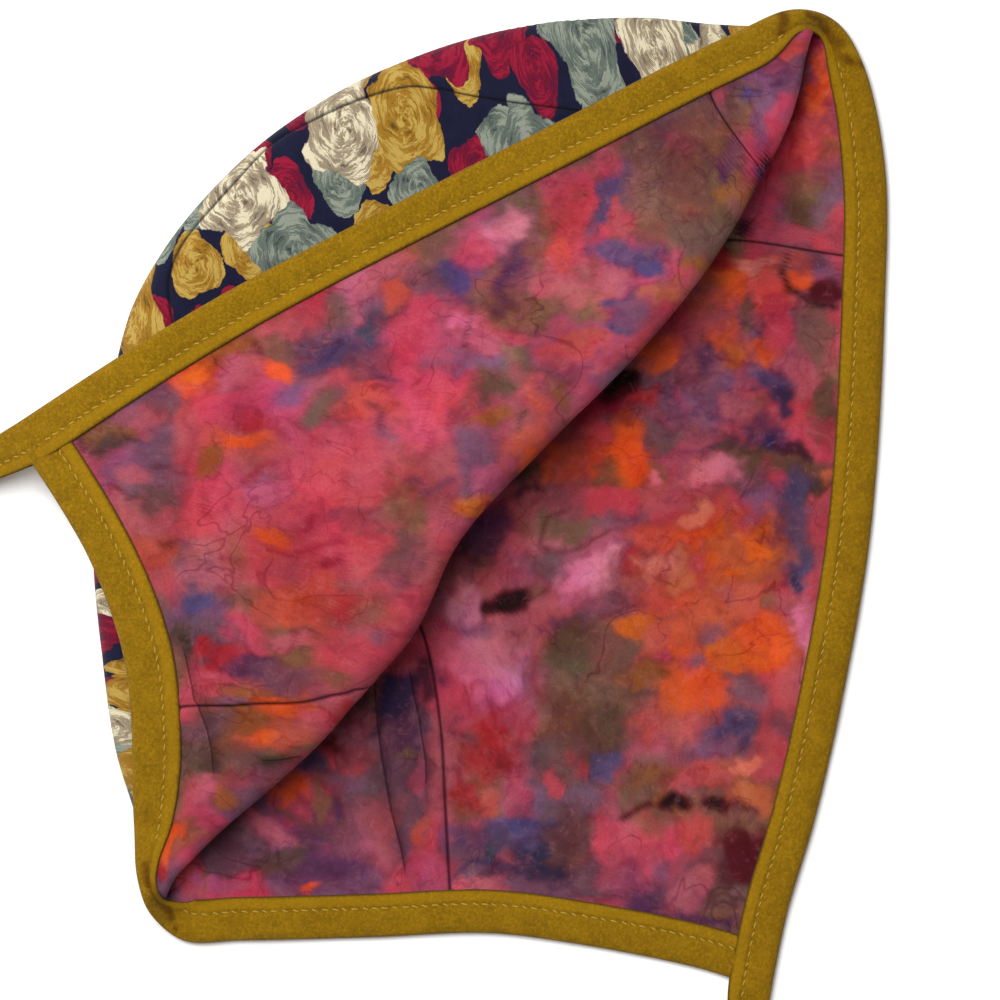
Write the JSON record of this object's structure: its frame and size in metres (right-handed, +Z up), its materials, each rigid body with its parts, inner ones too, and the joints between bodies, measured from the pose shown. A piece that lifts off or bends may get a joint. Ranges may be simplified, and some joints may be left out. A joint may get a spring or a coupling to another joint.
{
  "type": "toddler bonnet, lying folded",
  "caption": "Reversible woven cotton bonnet with mustard binding, lying on its side with one front corner folded back over a dyed lining.",
  "frame": {"origin": "centre of the bounding box, on the surface that the bonnet lies on", "axes": "+Z up from the surface, +Y and +X as the bonnet is seen from above, with the crown's fold at the top right and the nape at the bottom left"},
  "size_m": [0.205, 0.2222, 0.0255],
  "materials": {
    "outer": "matte printed woven cotton",
    "lining": "matte ice-dyed woven cotton",
    "binding": "soft brushed mustard cotton"
  },
  "bodies": {
    "root": {"outer_left_side": "outer", "outer_centre_panel": "outer", "outer_right_side": "outer", "lining_left_side": "lining", "lining_centre_panel": "lining", "lining_right_side": "lining", "front_binding": "binding", "neck_binding": "binding"}
  },
  "joints": []
}
